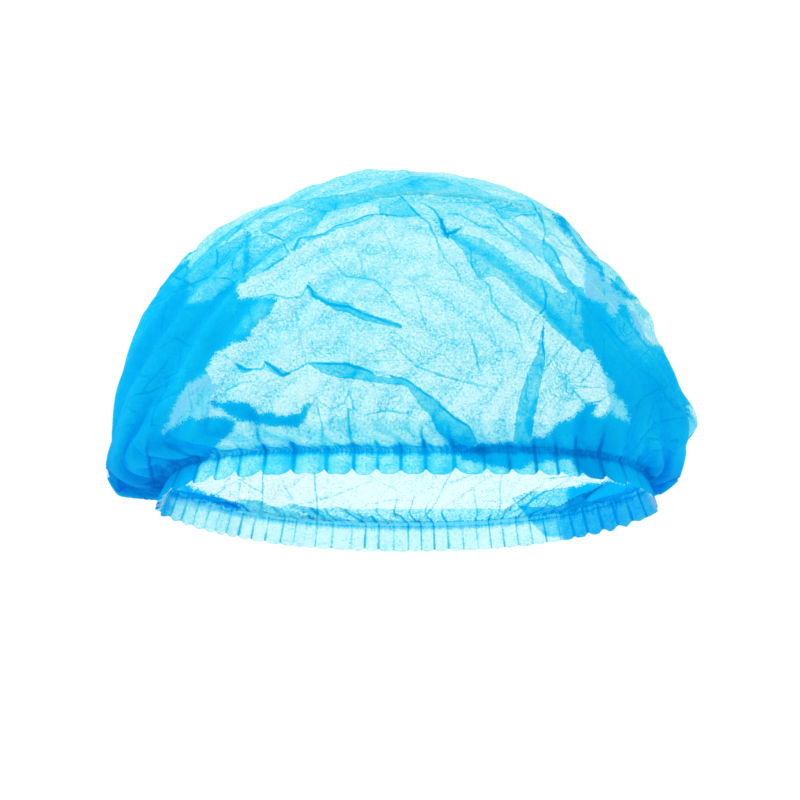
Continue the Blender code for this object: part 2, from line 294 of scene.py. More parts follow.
def settle(cloth, level, passes):
    """Lets the spare cloth buckle: threads take their cut length while the broad form stays."""
    rows, columns = cloth.shape[:2]
    base = bare[::level, ::level]
    gap = np.linalg.norm(np.roll(base, -1, axis=1) - base, axis=2) * spare_round[::level, ::level]
    down = np.linalg.norm(np.diff(base, axis=0), axis=2) * spare_along[::level][:-1, None]
    near_elastic = np.abs(distance[::level]) < ELASTIC_HOLD * max(1.0, 0.5 * level)
    free = np.where(near_elastic, FREE_ON_ELASTIC, 1.0)[:, None] * np.ones((1, columns))
    free[-1] = FREE_AT_END
    mirror = (-np.arange(columns)) % columns
    reach_rows, reach_columns = max(1, round(7 / level)), max(1, round(9 / level))
    for number in range(passes):
        for first in (0, 1):
            odd = (np.arange(first, columns, 2) + 1) % columns
            a, b = cloth[:, first::2].copy(), cloth[:, odd].copy()
            pull(a, b, gap[:, first::2], free[:, first::2], free[:, odd], 1.0)
            cloth[:, first::2], cloth[:, odd] = a, b
        for first in (0, 1):
            r = np.arange(first, rows - 1, 2)
            a, b = cloth[r], cloth[r + 1]
            pull(a, b, down[r], free[r], free[r + 1], 1.0)
            cloth[r], cloth[r + 1] = a, b
            slant = np.sqrt(((gap[r] + gap[r + 1]) / 2) ** 2 + down[r] ** 2)
            for turn in ((1, -1), (-1, 1))[number % 2]:
                beside = (np.arange(columns) + turn) % columns
                a, below = cloth[r], cloth[r + 1]
                b = below[:, beside]
                pull(a, b, slant, free[r], free[r + 1], SLANT_PULL)
                below[:, beside] = b
                cloth[r], cloth[r + 1] = a, below
        for first in (0, 2):
            i = np.concatenate([np.arange(first, columns, 4), np.arange(first + 1, columns, 4)])
            j = (i + 2) % columns
            a, b = cloth[:, i], cloth[:, j]
            pull(a, b, gap[:, i] * 2, free[:, i], free[:, j], BEND_PULL)
            cloth[:, i], cloth[:, j] = a, b
            i = np.array([k for k in range(rows - 2) if k % 4 in (first, first + 1)])
            a, b = cloth[i], cloth[i + 2]
            pull(a, b, down[i] * 2, free[i], free[i + 2], BEND_PULL)
            cloth[i], cloth[i + 2] = a, b
        cloth[-1] = (cloth[-1] + cloth[-1][mirror]) / 2
        cloth -= FORM_PULL * softened(cloth - base, reach_rows, reach_columns)
        cloth[..., 2] = np.maximum(cloth[..., 2], OVER_FLOOR)
    return cloth


def finer(grid):
    """The grid with a new row and column between each two."""
    rows, columns = grid.shape[:2]
    wide = np.empty((rows, columns * 2, 3))
    wide[:, ::2] = grid
    wide[:, 1::2] = (grid + np.roll(grid, -1, axis=1)) / 2
    tall = np.empty((rows * 2 - 1, columns * 2, 3))
    tall[::2] = wide
    tall[1::2] = (wide[1:] + wide[:-1]) / 2
    return tall


# From coarse to fine: the step between the points of the grid that are taken, and how many passes
# they settle for.
(coarsest, first_passes), *finer_rounds = ((4, 110), (2, 70), (1, 40))
cloth = settle(started[::coarsest, ::coarsest].copy(), coarsest, first_passes)
for level, passes in finer_rounds:
    step_between = started[::level, ::level] - finer(started[:: level * 2, :: level * 2])
    cloth = settle(finer(cloth) + step_between, level, passes)

# Any broad sideways creep of the cloth along its own face is taken back.
broad_face = outward(bare)
creep = softened(cloth - bare, 3, 12)
creep -= broad_face * np.einsum("...i,...i->...", creep, broad_face)[..., None]
cloth = cloth - creep

# The frill in front of the elastic is regular: each lobe hangs as a rounded tongue between two
# pinched valleys. On the ground side the lobes lie flatter.
LOBE_FRONT = 0.0005
LOBE_BACK = 0.0010
SCALLOP_FRONT = 0.0078
SCALLOP_BACK = 0.0008
FRILL_BLEND = 0.005
frill_rows = distance < FRILL_BLEND
out_share = within(-distance / FRILL_LENGTH)[:, None]
lobe_high = LOBE_BACK + (LOBE_FRONT - LOBE_BACK) * front_weight
scallop = SCALLOP_BACK + (SCALLOP_FRONT - SCALLOP_BACK) * front_weight
scallop = scallop * (1 - 0.6 * within((np.abs(across_share[0]) - 0.5) / 0.3))
lobe_push = (0.0003 + lobe_high * out_share**0.8) * pleat_lobe
lobe_push = lobe_push * (1 + 0.25 * drift(8, 5)) + lobe_high * 0.9 * (1 - front_weight) * out_share
frill_face = bare + outward(bare) * lobe_push[..., None]
to_elastic = unit(bare[elastic_row] - bare[0])
valley_turn = (phase / (2 * math.pi) + 0.5) % 1.0 - 0.5
from_lobe = 1.0 - 2.0 * np.abs(valley_turn)
tongue = from_lobe**2.2 - 0.42 * front_weight
retreat = scallop * tongue * out_share**1.5 * (1 + 0.15 * drift(0, 9, (1, COLUMNS)))
frill_face = frill_face + to_elastic[None] * retreat[..., None]
keep_frill = within(1.0 - distance / FRILL_BLEND)[:, None, None]
cloth = np.where(frill_rows[:, None, None], keep_frill * frill_face + (1 - keep_frill) * cloth, cloth)
cloth[..., 2] = np.maximum(cloth[..., 2], OVER_FLOOR)

# The eye of the photograph looks down on the front panel at this tilt, and one pixel of its 800 by
# 800 frame covers this much of the cap. The rows and columns are those that the cap's outline touches.
VIEW_TILT = math.radians(55)
PIXEL = 0.000479
MIDDLE_COLUMN = 397
TOP_ROW = 169
FOOT_ROW = 549


def in_photo(points):
    """Column and row of points in the photograph's frame."""
    up = points[..., 1] * math.sin(VIEW_TILT) + points[..., 2] * math.cos(VIEW_TILT)
    return np.stack([MIDDLE_COLUMN + points[..., 0] / PIXEL, FOOT_ROW - (up - seen_foot) / PIXEL], axis=-1)


seen_up = cloth[..., 1] * math.sin(VIEW_TILT) + cloth[..., 2] * math.cos(VIEW_TILT)
seen_foot = float((seen_up.max() + seen_up.min()) / 2 - (FOOT_ROW - TOP_ROW) / 2 * PIXEL)


def to_segments(place, line):
    """Signed distance to an open line, and how far along it the nearest place is, from 0 to 1."""
    line = np.array(line, dtype=float)
    runs = np.linalg.norm(np.diff(line, axis=0), axis=1)
    reached = np.concatenate([[0.0], np.cumsum(runs)])
    best = np.full(place.shape[:-1], 1e9)
    side = np.zeros(place.shape[:-1])
    along = np.zeros(place.shape[:-1])
    for start, end, length, before in zip(line, line[1:], runs, reached):
        run = end - start
        t = within(((place - start) @ run) / (run @ run))
        off = place - start - t[..., None] * run
        away = np.sqrt((off**2).sum(axis=-1))
        nearer = away < best
        turned = run[0] * off[..., 1] - run[1] * off[..., 0]
        side = np.where(nearer, np.sign(turned), side)
        along = np.where(nearer, (before + t * length) / reached[-1], along)
        best = np.where(nearer, away, best)
    return best * np.where(side < 0, -1.0, 1.0), along


def to_outline(place, corners):
    """Distance to a closed outline, negative inside it."""
    line = list(corners) + [corners[0]]
    away = np.abs(to_segments(place, line)[0])
    inside = np.zeros(place.shape[:-1], dtype=bool)
    for (x0, y0), (x1, y1) in zip(line, line[1:]):
        crosses = (y0 > place[..., 1]) != (y1 > place[..., 1])
        rise = y1 - y0 if y1 != y0 else 1e-9
        inside ^= crosses & (place[..., 0] < (x1 - x0) * (place[..., 1] - y0) / rise + x0)
    return np.where(inside, -away, away)


# Patches of the front panel where the sheet is folded over itself, as columns and rows of the
# photograph: "mid" where two layers lie together and "deep" where there are more. Only corners that
# shape a patch are given.
PATCHES = {
    "mid": {
        "band under the crest, left": (
            (278, 205), (316, 200), (347, 196), (372, 189), (400, 182), (400, 198), (374, 202),
            (349, 211), (328, 215), (307, 211), (288, 207)),
        "rim on the upper left": (
            (180, 288), (196, 266), (208, 253), (222, 239), (238, 227), (252, 219), (262, 211),
            (272, 206), (283, 203), (270, 213), (256, 225), (240, 236), (226, 245), (212, 257),
            (203, 266), (196, 277)),
        "strip along the crest": (
            (297, 257), (301, 244), (311, 240), (327, 238), (337, 231), (354, 226), (368, 220),
            (374, 219), (372, 223), (354, 231), (338, 235), (328, 241), (311, 245), (303, 252)),
        "strip of the long upper fold": (
            (310, 289), (316, 293), (322, 300), (335, 303), (349, 306), (358, 311), (368, 317),
            (384, 321), (402, 327), (402, 330), (384, 327), (368, 323), (354, 318), (339, 313),
            (326, 307), (315, 301), (309, 294)),
        "facet under that band": (
            (307, 211), (328, 215), (320, 229), (312, 241), (303, 243), (295, 256), (288, 246),
            (268, 237), (261, 226), (278, 223)),
        "outer left facet": (
            (219, 252), (248, 236), (251, 267), (250, 286), (224, 298), (218, 308), (186, 312),
            (188, 278), (204, 266)),
        "inner left facet": (
            (249, 241), (272, 239), (288, 250), (293, 258), (282, 267), (266, 277), (247, 284)),
        "long fold to the left": (
            (312, 365), (328, 365), (348, 363), (360, 366), (372, 373), (380, 377), (405, 378),
            (405, 384), (378, 383), (360, 381), (340, 377), (324, 373)),
        "first small tuck on the long fold": (
            (268, 362), (281, 368), (295, 373), (285, 376), (274, 371)),
        "second small tuck on the long fold": (
            (237, 360), (247, 367), (261, 373), (247, 374)),
        "long fold down to the casing": (
            (390, 375), (402, 377), (412, 383), (424, 391), (435, 401), (449, 411), (463, 423),
            (469, 435), (475, 443), (449, 441), (435, 429), (430, 417), (420, 405), (416, 399),
            (408, 387), (390, 383)),
        "upright tuck on the right": (
            (539, 329), (541, 354), (538, 377), (534, 397), (531, 419), (528, 439), (511, 440),
            (513, 415), (519, 389), (526, 370), (534, 350)),
        "band down to the right": (
            (445, 242), (462, 238), (478, 242), (494, 252), (511, 266), (527, 278), (541, 284),
            (558, 297), (580, 288), (584, 333), (590, 346), (576, 354), (556, 337), (537, 319),
            (523, 307), (507, 293), (494, 280), (478, 280), (468, 268), (462, 258), (451, 246)),
        "upper band down to the right": (
            (539, 242), (549, 250), (556, 262), (564, 280), (576, 291), (572, 299), (558, 291),
            (549, 274), (541, 262)),
        "band under the crest, right": (
            (398, 182), (411, 177), (441, 177), (462, 181), (482, 191), (494, 197), (511, 201),
            (531, 201), (539, 211), (543, 229), (535, 219), (511, 219), (502, 223), (494, 209),
            (482, 202), (458, 199), (425, 197), (404, 197), (398, 199)),
        "piece under the crest": (
            (380, 207), (392, 208), (402, 200), (407, 207), (421, 222), (392, 221), (380, 220)),
    },
    "deep": {
        "kink on the crest": (
            (438, 223), (443, 224), (447, 235), (460, 231), (462, 234), (446, 243), (441, 240),
            (439, 230)),
        "upright tuck on the left": (
            (244, 230), (253, 237), (253, 263), (251, 285), (247, 285), (246, 263), (248, 246)),
        "left flank": (
            (192, 262), (194, 305), (215, 302), (222, 294), (242, 283), (243, 301), (266, 302),
            (282, 301), (278, 311), (272, 319), (259, 328), (251, 342), (238, 345), (230, 351),
            (222, 355), (216, 362), (212, 374), (202, 380), (193, 385), (180, 405), (168, 431),
            (186, 423), (194, 415), (202, 419), (222, 415), (241, 421), (233, 433), (222, 443),
            (214, 455), (202, 467), (198, 490), (164, 508), (140, 530), (90, 500), (80, 400),
            (120, 320), (165, 270)),
        "tuck over the left casing": (
            (212, 402), (233, 401), (253, 402), (263, 414), (273, 411), (285, 415), (301, 413),
            (310, 403), (318, 397), (309, 417), (301, 426), (273, 426), (243, 420), (218, 406)),
        "foot of the long fold": (
            (435, 427), (453, 429), (467, 437), (475, 443), (457, 453), (447, 443)),
        "gathered band on the right": (
            (475, 443), (501, 442), (528, 438), (542, 435), (554, 421), (568, 417), (580, 406),
            (596, 401), (588, 415), (600, 415), (609, 409), (609, 420), (588, 433), (580, 449),
            (568, 457), (548, 460), (528, 461), (517, 468), (501, 466), (481, 462), (463, 459),
            (455, 451)),
        "right flank": (
            (576, 248), (584, 250), (602, 266), (601, 282), (600, 301), (604, 313), (609, 318),
            (615, 311), (617, 301), (625, 311), (633, 331), (643, 345), (653, 346), (668, 349),
            (720, 352), (720, 388), (690, 390), (681, 402), (680, 425), (684, 446), (720, 452),
            (720, 500), (670, 540), (645, 545), (639, 498), (611, 492), (588, 482), (568, 464),
            (566, 446), (580, 428), (603, 413), (626, 422), (619, 403), (607, 395), (609, 385),
            (598, 372), (590, 356), (582, 344), (576, 333), (574, 315), (572, 291), (584, 301),
            (596, 303), (602, 295), (596, 274), (582, 262)),
        "knot of the crest band": (
            (404, 187), (414, 181), (430, 179), (446, 182), (453, 187), (444, 193), (428, 195),
            (412, 194)),
        "tuck on the right shoulder": (
            (551, 215), (564, 219), (576, 233), (590, 250), (582, 252), (572, 238), (560, 229)),
        "small tuck on the right edge": (
            (607, 280), (621, 291), (635, 301), (621, 301), (609, 291)),
    },
}

# The same for the inside of the back panel, seen through the opening; there the deep patch at the inner
# right end is painted shade on the inner wall.
BACK_PATCHES = {
    "mid": {
        "inner right, outer part": (
            (512, 499), (530, 492), (545, 492), (560, 489), (575, 487), (590, 500), (562, 537),
            (545, 537), (528, 518)),
    },
    "deep": {
        "inner left end": (
            (150, 470), (190, 488), (205, 493), (225, 500), (243, 508), (235, 512), (215, 507),
            (198, 501), (180, 500), (150, 500)),
        "flap at the left corner": (
            (135, 478), (168, 490), (172, 508), (164, 524), (145, 526), (135, 505)),
        # Painted shade: the inner wall at the right end, in shade through the opening, is drawn as a deep
        # patch.
        "painted shade of the inner right end": (
            (568, 488), (590, 484), (640, 480), (700, 480), (700, 540), (603, 545), (587, 545),
            (566, 545), (558, 522), (566, 505)),
    },
}

# Places of the front panel that stand out or lie lower than the cloth round them: the middle and the
# reach in pixels, and the height in metres, negative for a dent.
BUMPS = {
    "bulge on the right edge": ((686, 420), 20, 0.0044),
    "bulge over the right bulge": ((650, 318), 13, 0.0022),
    "dent on the upper right": ((600, 235), 22, -0.0045),
    "dent on the upper left": ((272, 192), 22, -0.0030),
    "pillow on the left flank": ((150, 400), 30, 0.0015),
}

# Creases of the front panel: how far the sharp edge stands out, in metres, negative for a valley, how
# strongly its line shows, and the line itself in columns and rows of the photograph.
CREASES = {
    "along the crest": (0.0012, 0.55, (
        (303, 243), (312, 242), (326, 239), (337, 231), (354, 227), (368, 221), (379, 219),
        (404, 222))),
    "across the left facets": (0.0008, 0.45, (
        (259, 226), (266, 237), (282, 242), (288, 250), (292, 258))),
    "left facets to the crest": (0.0010, 0.50, ((295, 256), (303, 244), (312, 242))),
    "down the middle": (-0.0008, 0.40, (
        (326, 252), (335, 267), (347, 279), (364, 281), (376, 283), (389, 296), (400, 313),
        (408, 326))),
    "into the middle": (0.0006, 0.35, ((357, 252), (362, 265), (364, 280))),
    "long upper fold": (0.0018, 0.60, (
        (243, 301), (266, 301), (276, 299), (291, 302), (303, 300), (311, 288), (316, 300), (330, 307),
        (349, 309), (366, 315), (383, 323), (402, 329))),
    "left shoulder": (0.0010, 0.40, (
        (220, 253), (242, 233), (253, 219), (263, 206), (282, 204), (316, 200))),
    "over the left flank": (0.0012, 0.35, ((261, 282), (276, 269), (286, 263), (299, 256))),
    "off the crest": (0.0012, 0.50, (
        (402, 200), (407, 207), (415, 219), (429, 229), (435, 246), (445, 264), (456, 276),
        (462, 293))),
    "kink beside the crest": (0.0012, 0.60, (
        (419, 205), (433, 215), (441, 227), (445, 241), (462, 231))),
    "right shoulder": (0.0010, 0.50, ((443, 218), (458, 218), (470, 225), (478, 231), (498, 232))),
    "down from the right shoulder": (0.0012, 0.50, (
        (484, 221), (494, 221), (502, 231), (515, 242), (527, 254), (541, 274))),
    "under the right band": (-0.0010, 0.45, (
        (468, 254), (470, 270), (476, 280), (486, 287), (490, 303), (498, 315), (513, 325),
        (521, 356))),
    "across the right band": (0.0009, 0.45, (
        (537, 282), (543, 299), (541, 311), (531, 321), (524, 338))),
    "right of the crest": (0.0012, 0.50, ((529, 201), (537, 219), (543, 231), (541, 244), (537, 254))),
    "short one right of the crest": (0.0006, 0.40, ((511, 221), (521, 218), (537, 221))),
    "right edge, upper": (0.0009, 0.45, ((545, 236), (553, 238), (562, 248), (576, 250))),
    "right edge, lower": (0.0009, 0.40, ((541, 246), (551, 256), (560, 270), (566, 284))),
    "middle, lower end": (0.0006, 0.30, ((380, 282), (390, 293), (400, 313), (406, 323))),
    "short one in the middle": (0.0007, 0.40, ((413, 289), (419, 307), (425, 330))),
    "right of the middle": (-0.0008, 0.40, ((462, 325), (468, 338), (474, 354), (479, 380))),
    "through the middle to the right": (0.0013, 0.50, (
        (380, 337), (392, 344), (404, 356), (417, 368), (445, 377), (473, 385), (501, 389))),
    "top of the upright tuck": (0.0012, 0.50, ((539, 319), (540, 364))),
    "fan on the right, first": (0.0008, 0.45, ((563, 340), (548, 360), (540, 372))),
    "fan on the right, second": (0.0008, 0.40, ((578, 352), (568, 370), (556, 383))),
    "fan on the right, third": (0.0008, 0.45, ((590, 362), (582, 377), (572, 385))),
    "fan on the right, fourth": (0.0007, 0.40, ((560, 385), (580, 387), (607, 389))),
    "fan on the right, fifth": (-0.0008, 0.45, ((564, 385), (581, 404), (596, 401), (609, 392))),
    "fan on the right, sixth": (0.0007, 0.35, ((542, 381), (548, 395), (568, 399), (579, 404))),
    "along the long fold": (0.0016, 0.60, (
        (218, 355), (233, 358), (241, 365), (251, 371), (267, 370), (271, 363), (285, 374), (301, 369),
        (311, 364), (330, 365), (348, 363), (372, 373), (402, 377))),
    "edge of the long fold": (0.0020, 0.55, (
        (402, 377), (424, 391), (449, 411), (465, 425), (475, 443))),
    "under the long fold": (-0.0007, 0.30, (
        (214, 401), (229, 391), (245, 383), (259, 382), (269, 370))),
    "over the pleats, left": (0.0012, 0.45, (
        (312, 395), (322, 401), (332, 409), (346, 403), (352, 389), (354, 407), (364, 415))),
    "over the pleats, right": (0.0010, 0.45, ((364, 415), (382, 410), (405, 411), (416, 405))),
    "first rib of the left flank": (0.0008, 0.45, ((193, 386), (195, 399), (198, 413))),
    "second rib of the left flank": (0.0008, 0.40, ((202, 381), (203, 397), (205, 411))),
    "short one over the long fold": (0.0006, 0.30, ((362, 360), (372, 354), (392, 349), (405, 358))),
    "first upright pleat": (-0.0010, 0.50, ((318, 400), (323, 423), (324, 439))),
    "second upright pleat": (-0.0010, 0.50, ((350, 405), (350, 425), (354, 439))),
    "tuck at the left corner": (0.0022, 0.90, ((153, 441), (152, 467), (154, 486), (152, 512))),
    "first fan of the right corner": (-0.0011, 0.35, (
        (627, 453), (643, 433), (655, 423), (671, 417), (685, 420))),
    "second fan of the right corner": (-0.0011, 0.35, ((635, 464), (649, 451), (663, 449), (681, 447))),
    "third fan of the right corner": (-0.0010, 0.30, ((623, 415), (637, 399), (653, 389), (671, 387))),
}
STEEP_SIDE = 0.0016
GENTLE_SIDE = 0.0075
LINE_WIDTH = 0.0028
SPREAD_CAP = 0.006
FOLD_STEP = 0.0012
INSIDE_SEEN_TO = 0.07


def crease_push(away, along, high):
    """Cloth beside a crease: steep on one side of the sharp edge and gentle on the other."""
    width = np.where(away > 0, GENTLE_SIDE, STEEP_SIDE)
    taper = within(4 * along) * within(4 * (1 - along))
    return high * (0.25 + 0.75 * taper) * np.exp(-np.abs(away) / width)


def crease_dark(away, along, dark):
    taper = within(5 * along) * within(5 * (1 - along))
    return dark * (0.35 + 0.65 * taper) * np.exp(-((away / LINE_WIDTH) ** 2))


def keep_darker(lines, aways, at, line, away):
    """Puts in a line and the distance to it where it is darker than what is there."""
    darker = line > lines[at]
    lines[at] = np.where(darker, line, lines[at])
    aways[at] = np.where(darker, away, aways[at])


front = slice(0, SIDE + 1)
eye_place = in_photo(cloth[:, front])
to_eye = np.array([0.0, -math.cos(VIEW_TILT), math.sin(VIEW_TILT)])
facing = softened(outward(cloth) @ to_eye, 3, 3)
wander = 0.5 + 0.5 * np.sin(90 * distance[:, None] + 14 * np.sin(6 * math.pi * share))
turned_away = 0.02 * within(0.04 - (0.30 * wander * flank + facing)[:, front])
seen = within(facing[:, front] / 0.08)
back = slice(SIDE + 1, COLUMNS)
back_place = in_photo(cloth[:, back])
past_inside = 0.01 * (distance[:, None] > INSIDE_SEEN_TO)
folds = {depth: np.full((ROWS, COLUMNS), SPREAD_CAP) for depth in PATCHES}
for patches, side, place, kept_off in (
    (PATCHES, front, eye_place, turned_away),
    (BACK_PATCHES, back, back_place, past_inside),
):
    for depth, outlines in patches.items():
        for outline in outlines.values():
            away = to_outline(place, outline) * PIXEL + kept_off
            folds[depth][:, side] = np.minimum(folds[depth][:, side], away)
fold_mid, fold_deep = folds["mid"], folds["deep"]

push = np.zeros((ROWS, COLUMNS))
for place, across, high in BUMPS.values():
    from_bump = np.linalg.norm(eye_place - np.array(place), axis=-1) / across
    push[:, front] += high * np.exp(-(from_bump**2)) * within(1 + 3 * facing[:, front])
crease_away = np.full((ROWS, COLUMNS), SPREAD_CAP)
crease_line = np.zeros((ROWS, COLUMNS))
for high, dark, line in CREASES.values():
    away, along = to_segments(eye_place, line)
    away = away * PIXEL
    push[:, front] += crease_push(away, along, high) * seen
    thinned = away / (0.5 + 1.3 * dark)
    shade = crease_dark(away, along, dark) * seen
    keep_darker(crease_line, crease_away, (slice(None), front), shade, thinned)

# Small random creases all over, fainter in the middle of the front panel. Some are doubled folds,
# which show as narrow patches, but none in the middle of the front.
SMALL_CREASES = 480
SMALL_HALF_LENGTHS = (0.006, 0.024)
SMALL_HEIGHTS = (0.0003, 0.0009)
SMALL_DARKS = (0.14, 0.52)
RIDGE_SHARE = 0.6
surface = outward(cloth)
flat_cloth = cloth.reshape(-1, 3)
flat_normal = surface.reshape(-1, 3)
small_push = np.zeros(len(flat_cloth))
small_line = np.zeros(len(flat_cloth))
small_away = np.full(len(flat_cloth), SPREAD_CAP)
small_fold = np.full(len(flat_cloth), SPREAD_CAP)
for _ in range(SMALL_CREASES):
    row = int(chance.integers(GATHERED_ROWS, ROWS - 6))
    middle = row * COLUMNS + int(chance.integers(0, COLUMNS))
    turn = chance.uniform(0, math.pi)
    half_length = chance.uniform(*SMALL_HALF_LENGTHS)
    high = chance.uniform(*SMALL_HEIGHTS) * (1 if chance.random() < RIDGE_SHARE else -1)
    dark = chance.uniform(*SMALL_DARKS)
    inside_view = middle % COLUMNS > SIDE and row < FRONT_ROWS
    out_of_view = facing.reshape(-1)[middle] < 0 and not inside_view
    doubled = not inside_view and chance.random() < (0.35 if out_of_view else 0.10)
    if out_of_view and abs(across_share.reshape(-1)[middle]) < 0.5:
        doubled = False
    centre, normal = flat_cloth[middle], flat_normal[middle]
    level_way = unit(np.cross(normal, np.array([0.31, 0.22, 0.92])))
    way = level_way * math.cos(turn) + np.cross(normal, level_way) * math.sin(turn)
    across_way = np.cross(normal, way)
    near = np.nonzero(((flat_cloth - centre) ** 2).sum(axis=1) < (half_length + 0.03) ** 2)[0]
    near = near[flat_normal[near] @ normal > 0.3]
    off = flat_cloth[near] - centre
    bend = 0.10 * half_length * np.sin(off @ way / half_length * 2.2)
    reach = np.clip((off @ way) / half_length, -1.0, 1.0)
    rest = off - reach[:, None] * half_length * way
    away = np.linalg.norm(rest, axis=1) * np.where(rest @ across_way < 0, -1.0, 1.0) + bend
    along = (reach + 1) / 2
    small_push[near] += crease_push(away, along, high)
    keep_darker(small_line, small_away, near, crease_dark(away, along, dark), away)
    if doubled:
        wide = (0.0055 if out_of_view else 0.0022) * (1 - reach**2)
        small_fold[near] = np.minimum(small_fold[near], np.abs(away - wide) - wide)

quiet = 1.0 - 0.55 * is_front * past_casing * (1.0 - flank)
small_push = small_push.reshape(ROWS, COLUMNS) * quiet
small_line = small_line.reshape(ROWS, COLUMNS) * quiet
keep_darker(crease_line, crease_away, ..., small_line, small_away.reshape(ROWS, COLUMNS))
small_fold = small_fold.reshape(ROWS, COLUMNS)
fold_mid = np.minimum(fold_mid, np.where(is_front & (flank < 0.4), SPREAD_CAP, small_fold))

# The back of the flanks is gathered as deep as their front.
BACK_FLANK_FROM = 0.78
BACK_FLANK_REACH = 0.085
MID_RISE = 0.0005
DEEP_RISE = 0.0004
PLEAT_RISE = 0.0005
own_half = np.abs(bare[..., 0]).max(axis=1)
past_opening = within((distance - 0.03) / 0.03)
flank_from = BACK_FLANK_FROM * (CAP_WIDTH / 2 + (own_half - CAP_WIDTH / 2) * past_opening)[:, None]
flank_edge = flank_from - np.abs(cloth[..., 0]) + 0.003 * drift(5, 6) + 0.008 * drift(16, 16)
flank_reach = BACK_FLANK_REACH + 0.055 * within((np.abs(bare[..., 0]) / own_half[:, None] - 0.75) / 0.25)
far_edge = distance[:, None] - flank_reach + 0.003 * drift(5, 6) + 0.010 * drift(16, 16)
flank_edge = np.maximum(flank_edge, far_edge)
flank_edge = np.maximum(flank_edge, (-distance - 0.001)[:, None])
fold_deep = np.where(is_front, fold_deep, np.minimum(fold_deep, flank_edge))
fold_mid = np.clip(fold_mid, -SPREAD_CAP, SPREAD_CAP)
fold_deep = np.clip(fold_deep, -SPREAD_CAP, SPREAD_CAP)

# The pleats run straight through the casing, wherever the spare cloth has slipped to beside it.
round_way = unit(np.roll(bare, -1, axis=1) - np.roll(bare, 1, axis=1))
slipped = np.einsum("...i,...i->...", cloth - bare, round_way) / np.maximum(ring_gap, 1e-5)
turns = phase / (2 * math.pi)
pleat_turn = turns + slipped * turn_rate
across_at = 0.35 * bare[elastic_row, :, 0] + 0.65 * cloth[..., 0]
upright = np.interp(-across_at, -bare[elastic_row, : SIDE + 1, 0], turns[: SIDE + 1])
pleat_turn += within((0.75 - np.abs(across_share)) / 0.15) * is_front * (upright - pleat_turn)
pleat_turn = (pleat_turn + 0.5) % 1.0 - 0.5
pleat_rise = 1.0 - 2.0 * (1.0 - 2.0 * np.abs(pleat_turn)) ** 2
pleat_rise *= (PLEAT_RISE * within(distance / 0.003) * within((0.020 - distance) / 0.012))[:, None]

fade_in = within((distance - 0.002) / 0.008) * within((crown_reach - distance) / 0.012)
rise = MID_RISE * within(0.5 - fold_mid / FOLD_STEP) + DEEP_RISE * within(0.5 - fold_deep / FOLD_STEP)
cloth = cloth + surface * ((push + small_push + rise) * fade_in[:, None] + pleat_rise)[..., None]
cloth[..., 2] = np.maximum(cloth[..., 2], OVER_FLOOR)

# How many layers of cloth the light passes: more in the casing and on the flanks, and more in the valleys
# of the relief, partly as painted shade, with a painted highlight on its ridges.
FRONT_LAYERS = 0.20
BACK_LAYERS = 0.06
CLOSED_END_LAYERS = 0.20
VALLEY_LAYERS_AND_SHADE = 0.14
RIDGE_PAINTED_HIGHLIGHT = 0.05
CREST_LAYERS = 0.13
FRILL_EDGE_LAYERS = 0.16
FRILL_LAYERS = 0.04
FRILL_FRONT_LAYERS = 0.31
ABOVE_CASING_LAYERS = 0.18
FLANK_LAYERS = 0.08
CASING_LAYERS = 0.32
CORNER_LAYERS = 0.45
CLOUD_LAYERS = 0.05
DEEP_CLOUD_LAYERS = 0.18
RELIEF_STEP = 0.00035
CASING_HALF = 0.0037
CORNER_SHARE = 0.05
relief = np.einsum("...i,...i->...", cloth - softened(cloth, 2, 2), outward(cloth))
layers = np.where(is_front, FRONT_LAYERS, BACK_LAYERS) + CLOUD_LAYERS * drift(6, 7)
layers += CLOSED_END_LAYERS * ~is_front * within((distance - 0.080) / 0.05)[:, None]
layers += FRILL_EDGE_LAYERS * within((-0.0150 - distance) / 0.0008)[:, None]
# Painted shade in the valleys of the relief, besides the cloth seen there edge-on, and a painted highlight
# on its ridges.
valley_layers_and_shade = VALLEY_LAYERS_AND_SHADE * within(-relief / RELIEF_STEP)
ridge_painted_highlight = RIDGE_PAINTED_HIGHLIGHT * within(relief / RELIEF_STEP)
layers += (valley_layers_and_shade - ridge_painted_highlight) * (1 - 0.6 * flank)
on_crest = is_front * within((distance - 0.09) / 0.04)[:, None]
layers += CREST_LAYERS * on_crest * (1 - 1.6 * within(0.5 - fold_mid / FOLD_STEP))
layers += (FRILL_LAYERS + FRILL_FRONT_LAYERS * front_weight) * within(-distance / 0.003)[:, None]
above_casing = within(distance / 0.003) * within((0.022 - distance) / 0.010)
layers += (ABOVE_CASING_LAYERS - 0.06 * front_weight) * above_casing[:, None]
layers += FLANK_LAYERS * flank * within(1 - distance / 0.12)[:, None] * within(distance / 0.01)[:, None]
casing_half = CASING_HALF + 0.0007 * front_weight
casing = np.exp(-(((distance[:, None] - 0.0008 * front_weight) / casing_half) ** 4))
layers += (CASING_LAYERS - 0.07 * front_weight) * casing
corner = within(1 - np.abs(np.abs(share - 0.25) - 0.25) / CORNER_SHARE)
corner = within(corner + within(1 - np.abs(share - 1) / CORNER_SHARE))
layers += CORNER_LAYERS * corner * np.exp(-((distance / 0.030) ** 2))[:, None]

